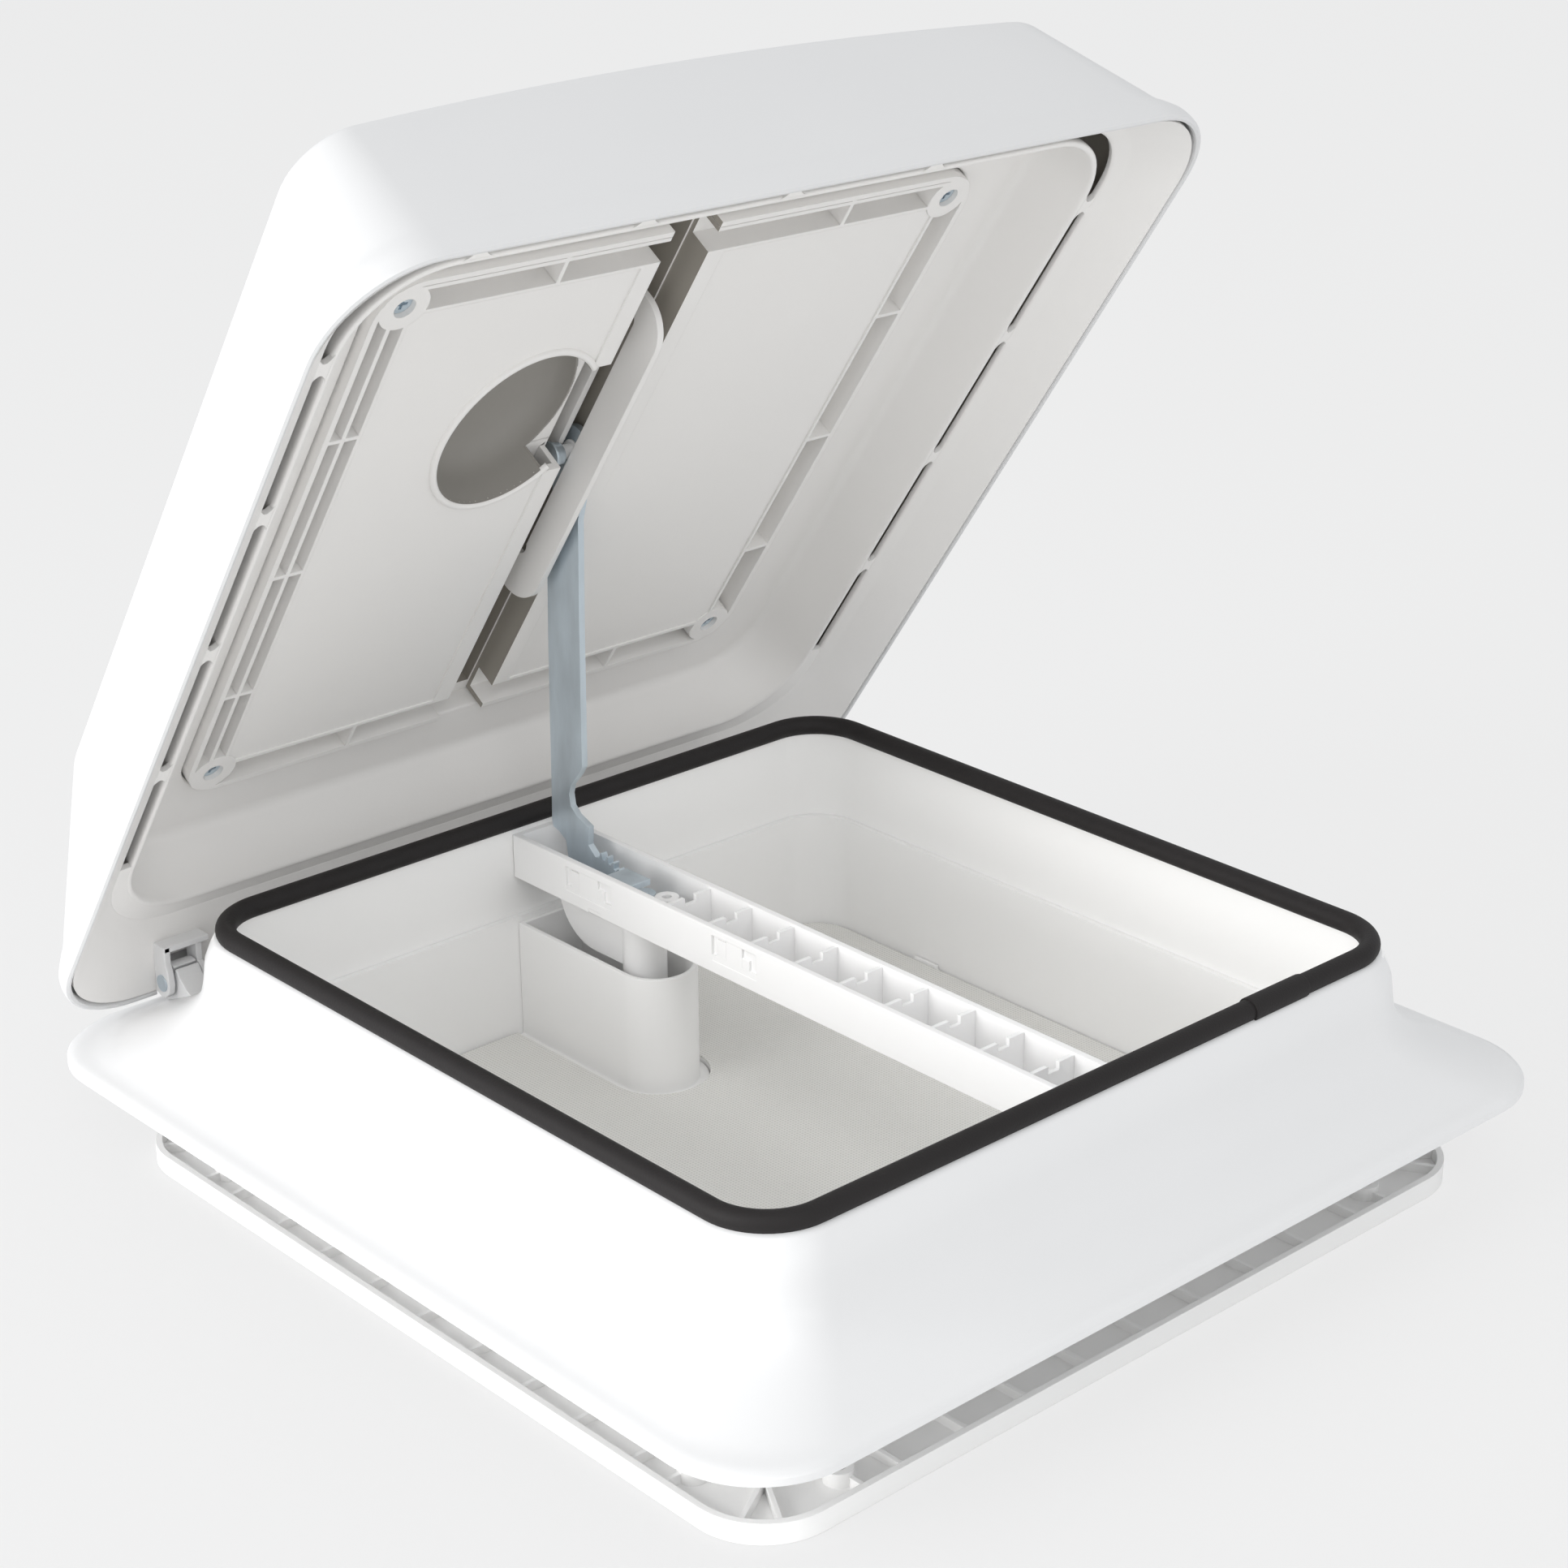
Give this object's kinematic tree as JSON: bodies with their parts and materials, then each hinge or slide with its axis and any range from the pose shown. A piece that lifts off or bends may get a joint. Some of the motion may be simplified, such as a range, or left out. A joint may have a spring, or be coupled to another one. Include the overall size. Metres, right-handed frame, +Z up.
{
  "type": "caravan roof vent",
  "caption": "Square caravan roof vent with a hinged lid that a worm-driven steel arm lifts from a crossbar over a netted tub.",
  "frame": {"origin": "centre of the square roof cut-out on the roof's outer surface", "axes": "+Z up out of the roof, +Y towards the lid's hinge, +X along the hinge line"},
  "size_m": [0.3584, 0.3803, 0.361],
  "materials": {
    "outer_white": "satin moulded white plastic",
    "tub_white": "satin moulded off-white plastic",
    "lid_inner": "matt moulded light grey-white plastic",
    "seal_rubber": "dull black rubber",
    "net_fabric": "fine woven net, off-white",
    "zinc_steel": "bluish zinc-plated steel",
    "bush_plastic": "plain off-white bearing plastic"
  },
  "bodies": {
    "base": {"outer_frame": "outer_white", "rim_seal": "seal_rubber", "seal_sleeve": "seal_rubber", "ceiling_frame": "tub_white", "winder_pocket": "tub_white", "net_frame": "tub_white", "fly_net": "net_fabric", "crossbar": "outer_white", "bar_screws": "zinc_steel", "worm_keeper": "zinc_steel", "pivot_pin": "zinc_steel"},
    "lid": {"lid_shell": "outer_white", "lid_liner": "lid_inner", "left_panel": "lid_inner", "right_panel": "lid_inner", "panel_screws": "zinc_steel", "guide_plate": "lid_inner", "guide_screws": "zinc_steel", "left_hinge_bracket": "outer_white", "right_hinge_bracket": "outer_white", "hinge_pins": "zinc_steel"},
    "arm": {"lift_arm": "zinc_steel", "pivot_bush": "bush_plastic", "arm_pin": "zinc_steel", "pin_roller": "bush_plastic", "pin_washer": "zinc_steel"},
    "winder": {"drive_worm": "zinc_steel", "drive_shaft": "zinc_steel", "shaft_clip": "zinc_steel", "winder_knob": "outer_white", "peg_pin": "zinc_steel"},
    "peg": {"finger_peg": "outer_white"}
  },
  "joints": [
    {"name": "lid_hinge", "type": "hinge", "parent": "base", "child": "lid", "pos_m": [0, 0.17373, 0.01376], "axis": [1, 0, 0], "range_deg": [0, 55.33]},
    {"name": "arm_pivot", "type": "hinge", "parent": "base", "child": "arm", "pos_m": [0, 0.1013, 0.0284], "axis": [1, 0, 0], "range_deg": [0, 81.5]},
    {"name": "winder_spin", "type": "hinge", "parent": "base", "child": "winder", "pos_m": [0.00225, 0.08004, -0.03], "axis": [0, 0, 1], "range_deg": [0, 2444.5]},
    {"name": "peg_fold", "type": "hinge", "parent": "winder", "child": "peg", "pos_m": [0.00225, 0.07364, -0.0321], "axis": [1, 0, 0], "range_deg": [-90, 0]}
  ],
  "couplings": [
    {"joint": "arm_pivot", "follows": "lid_hinge", "ratio": 1.4725},
    {"joint": "winder_spin", "follows": "lid_hinge", "ratio": 44.175}
  ]
}
